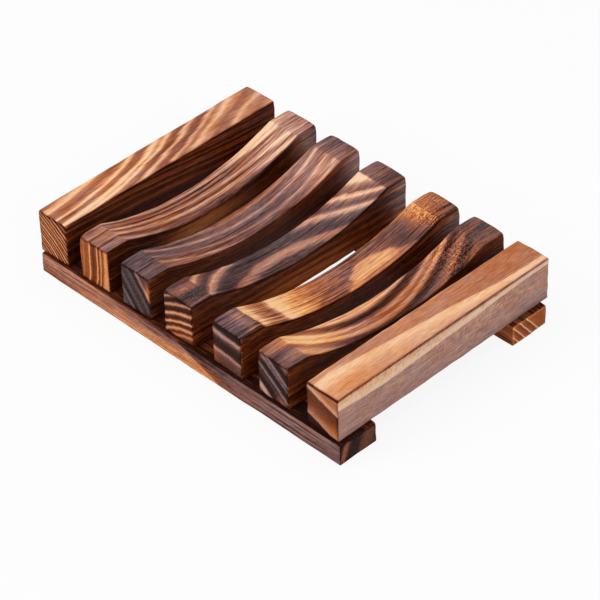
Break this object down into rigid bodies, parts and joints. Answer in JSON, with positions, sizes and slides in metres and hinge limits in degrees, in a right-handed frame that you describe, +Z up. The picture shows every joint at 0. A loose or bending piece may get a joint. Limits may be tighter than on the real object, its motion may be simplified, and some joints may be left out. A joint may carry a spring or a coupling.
{
  "type": "soap dish",
  "caption": "Slatted soap dish in scorched pine: dished slats laid across rails make a shallow bed for a bar of soap that drains and dries from below.",
  "frame": {"origin": "centre of the bounding box, on the surface that the rails stand on", "axes": "+X along the rails, +Y along the slats from the front end (the rail that stands a little proud) to the back, +Z up"},
  "size_m": [0.1196, 0.0828, 0.0207],
  "materials": {
    "amber_scorched_pine": "brushed and waxed",
    "dark_scorched_pine": "brushed and waxed",
    "rail_scorched_pine": "brushed and waxed",
    "brad_steel": "bright wire"
  },
  "bodies": {
    "root": {"front_rail": "rail_scorched_pine", "back_rail": "rail_scorched_pine", "left_side_slat": "amber_scorched_pine", "dished_slat_1": "dark_scorched_pine", "dished_slat_2": "dark_scorched_pine", "dished_slat_3": "dark_scorched_pine", "dished_slat_4": "dark_scorched_pine", "dished_slat_5": "dark_scorched_pine", "right_side_slat": "amber_scorched_pine", "front_rail_brads": "brad_steel", "back_rail_brads": "brad_steel"}
  },
  "joints": []
}
